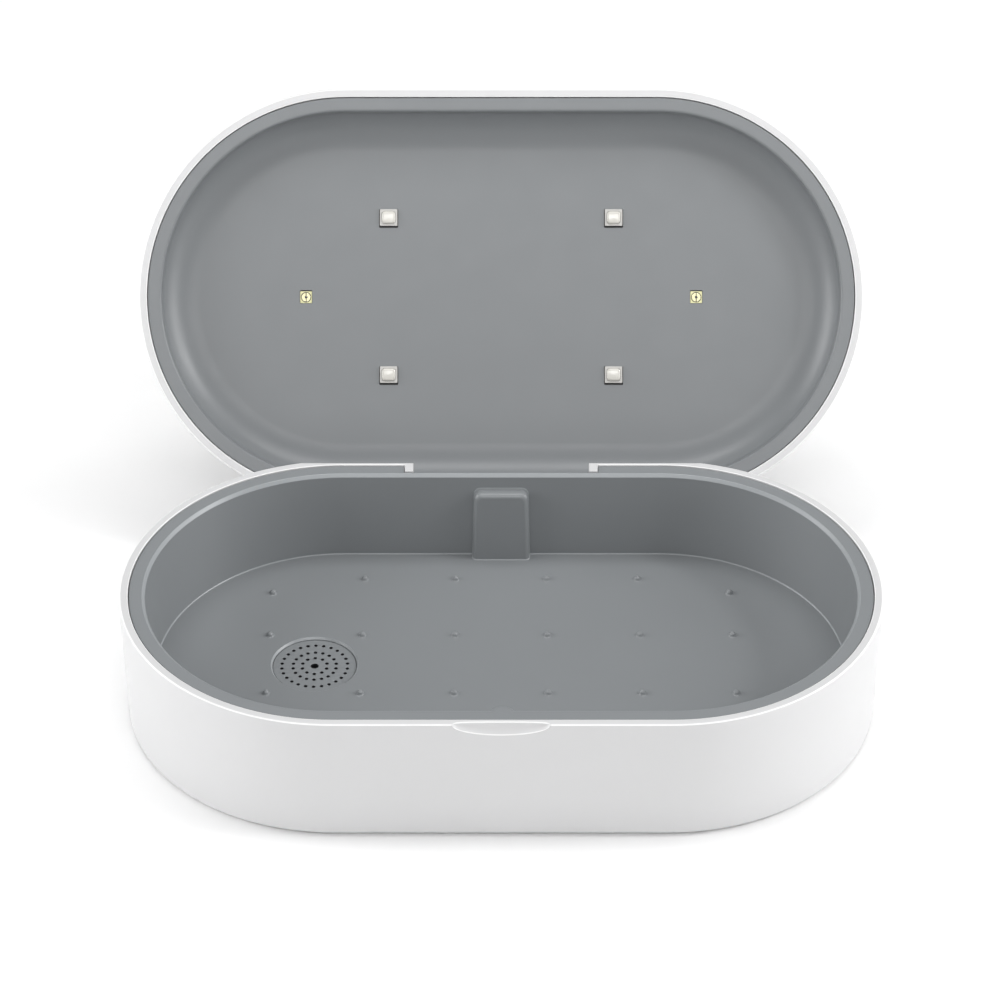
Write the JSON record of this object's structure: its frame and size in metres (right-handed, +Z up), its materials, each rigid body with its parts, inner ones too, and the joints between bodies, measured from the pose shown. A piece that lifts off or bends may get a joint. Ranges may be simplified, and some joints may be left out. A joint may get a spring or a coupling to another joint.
{
  "type": "toothbrush sanitizer",
  "caption": "Oval tabletop sanitizer box with a hinged lid, ultraviolet and white lamps in the lid, a studded drying tray, an aroma diffuser well and a press button.",
  "frame": {"origin": "centre of the resting face of the pad under the box, directly below the centre of the oval tub", "axes": "+Z up, +X along the oval to the viewer's right, +Y to the back where the hinge is"},
  "size_m": [0.21, 0.2039, 0.119],
  "materials": {
    "white_shell": "fine satin white ABS",
    "grey_tray": "fine-textured grey ABS",
    "grey_liner": "fine-textured grey ABS",
    "silicone": "matt grey silicone",
    "felt": "pressed felt",
    "board_green": "green solder mask",
    "board_white": "white solder mask",
    "steel": "plated steel",
    "magnet": "nickel plated",
    "chip": "black epoxy",
    "connector": "ivory nylon",
    "ribbon": "amber polyimide film",
    "lamp_body": "white lamp package",
    "lamp_lens": "clear silicone lens",
    "gold": "gold plated",
    "quartz": "quartz window",
    "light_guide": "frosted light guide"
  },
  "bodies": {
    "base": {"base_shell": "white_shell", "rest_pad": "silicone", "inner_tray": "grey_tray", "aroma_pad": "felt", "main_board": "board_green", "controller_chip": "chip", "boost_coil": "chip", "usb_socket_shell": "steel", "usb_socket_tongue": "chip", "base_connector": "connector", "base_ribbon": "ribbon", "hinge_pin_left": "steel", "hinge_pin_right": "steel", "catch_magnet_left": "magnet", "catch_magnet_right": "magnet", "case_screw_1": "steel", "case_screw_2": "steel", "case_screw_3": "steel", "case_screw_4": "steel", "board_screw_1": "steel", "board_screw_2": "steel"},
    "grille": {"aroma_grille": "grey_tray"},
    "lid": {"lid_shell": "white_shell", "lid_liner": "grey_liner", "led_board": "board_white", "white_lamp_1": "lamp_body", "white_lamp_lens_1": "lamp_lens", "white_lamp_2": "lamp_body", "white_lamp_lens_2": "lamp_lens", "white_lamp_3": "lamp_body", "white_lamp_lens_3": "lamp_lens", "white_lamp_4": "lamp_body", "white_lamp_lens_4": "lamp_lens", "uv_emitter_1": "gold", "uv_emitter_window_1": "quartz", "uv_emitter_2": "gold", "uv_emitter_window_2": "quartz", "lid_magnet_left": "magnet", "lid_magnet_right": "magnet", "lid_sensor": "chip", "lid_connector": "connector", "lid_ribbon": "ribbon", "tact_switch": "chip", "status_ring": "light_guide"},
    "button": {"power_button": "white_shell"}
  },
  "joints": [
    {"name": "lid_hinge", "type": "hinge", "parent": "base", "child": "lid", "pos_m": [0, 0.05693, 0.02995], "axis": [1, 0, 0], "range_deg": [0, 125.65]},
    {"name": "power_button_press", "type": "slide", "parent": "lid", "child": "button", "axis": [0, -0.8126, 0.5828], "range_m": [0, 0.0005], "stiffness_N_per_m": 600, "springref_m": -0.001},
    {"name": "aroma_grille_lift", "type": "slide", "parent": "base", "child": "grille", "axis": [0, 0, 1], "range_m": [0, 0.03]}
  ]
}
